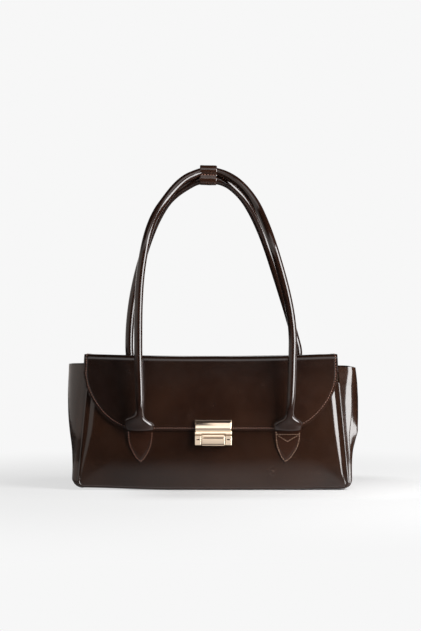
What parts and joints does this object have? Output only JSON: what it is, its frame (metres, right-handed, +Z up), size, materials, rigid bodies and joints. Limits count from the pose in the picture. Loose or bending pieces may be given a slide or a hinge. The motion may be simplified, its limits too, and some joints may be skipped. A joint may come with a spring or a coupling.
{
  "type": "baguette bag",
  "caption": "Long low shoulder bag with a front flap, push lock, piped panels, bulging gussets and two rolled handles tied together at the top.",
  "frame": {"origin": "centre of the base, on the surface that the bag stands on", "axes": "+X to the right seen from the front, +Y to the back, +Z up through the handles"},
  "size_m": [0.3238, 0.1094, 0.3595],
  "materials": {
    "body_leather": "glossy, waxed, lightly creased",
    "piping_leather": "glossy",
    "handle_leather": "glossy, rolled",
    "facing_leather": "satin",
    "lining_cloth": "plain woven cotton",
    "stiffener_board": "matt bonded fibre board",
    "clasp_gold": "polished pale gold plating",
    "plated_steel": "plated",
    "spring_steel": "bright spring steel"
  },
  "bodies": {
    "bag": {"front_panel": "body_leather", "back_panel": "body_leather", "left_gusset": "body_leather", "right_gusset": "body_leather", "base_panel": "body_leather", "front_piping": "piping_leather", "back_piping": "piping_leather", "front_stiffener": "stiffener_board", "back_stiffener": "stiffener_board", "base_board": "stiffener_board", "front_lining": "lining_cloth", "back_lining": "lining_cloth", "left_lining": "lining_cloth", "right_lining": "lining_cloth", "base_lining": "lining_cloth", "front_facing": "facing_leather", "back_facing": "facing_leather", "inner_pocket": "lining_cloth", "flap_anchor": "body_leather", "clasp_body": "clasp_gold", "clasp_body_backing": "plated_steel", "clasp_body_rivets": "plated_steel", "clasp_catch_spring": "spring_steel", "front_left_tab": "handle_leather", "front_right_tab": "handle_leather", "rear_left_tab": "handle_leather", "rear_right_tab": "handle_leather"},
    "flap_crown": {"flap_crown": "body_leather", "flap_crown_lining": "facing_leather"},
    "flap_front": {"flap_front": "body_leather", "flap_front_lining": "facing_leather", "clasp_plate": "clasp_gold", "clasp_tongue": "plated_steel", "clasp_plate_backing": "plated_steel", "clasp_plate_screws": "plated_steel"},
    "press_bar": {"clasp_press_bar": "clasp_gold"},
    "front_legs": {"front_left_leg": "handle_leather", "front_right_leg": "handle_leather"},
    "front_arch": {"front_arch": "handle_leather", "handle_keeper": "handle_leather"},
    "rear_legs": {"rear_left_leg": "handle_leather", "rear_right_leg": "handle_leather"},
    "rear_arch": {"rear_arch": "handle_leather"}
  },
  "joints": [
    {"name": "flap_lift", "type": "hinge", "parent": "bag", "child": "flap_crown", "pos_m": [0, 0.0337, 0.1489], "axis": [-1, 0, 0], "range_deg": [0, 84]},
    {"name": "flap_fold", "type": "hinge", "parent": "flap_crown", "child": "flap_front", "pos_m": [0, -0.027, 0.143], "axis": [-1, 0, 0], "range_deg": [-68.04, 0]},
    {"name": "clasp_press", "type": "slide", "parent": "bag", "child": "press_bar", "axis": [0, 1, 0], "range_m": [0, 0.0018], "stiffness_N_per_m": 800, "springref_m": -0.001, "deforming": ["clasp_catch_spring"]},
    {"name": "handle_sway", "type": "hinge", "parent": "bag", "child": "front_legs", "pos_m": [0, -0.0516, 0.158], "axis": [1, 0, 0], "range_deg": [-12, 12]},
    {"name": "front_arch_pivot", "type": "hinge", "parent": "front_legs", "child": "front_arch", "pos_m": [0, -0.0516, 0.255], "axis": [1, 0, 0], "range_deg": [-12, 12]},
    {"name": "rear_leg_pivot", "type": "hinge", "parent": "bag", "child": "rear_legs", "pos_m": [0, 0.048, 0.158], "axis": [1, 0, 0], "range_deg": [-12, 12]},
    {"name": "rear_arch_pivot", "type": "hinge", "parent": "rear_legs", "child": "rear_arch", "pos_m": [0, 0.048, 0.255], "axis": [1, 0, 0], "range_deg": [-12, 12]}
  ],
  "couplings": [
    {"joint": "flap_fold", "follows": "flap_lift", "ratio": -0.81},
    {"joint": "front_arch_pivot", "follows": "handle_sway", "ratio": -1},
    {"joint": "rear_leg_pivot", "follows": "handle_sway", "ratio": 1},
    {"joint": "rear_arch_pivot", "follows": "handle_sway", "ratio": -1}
  ]
}
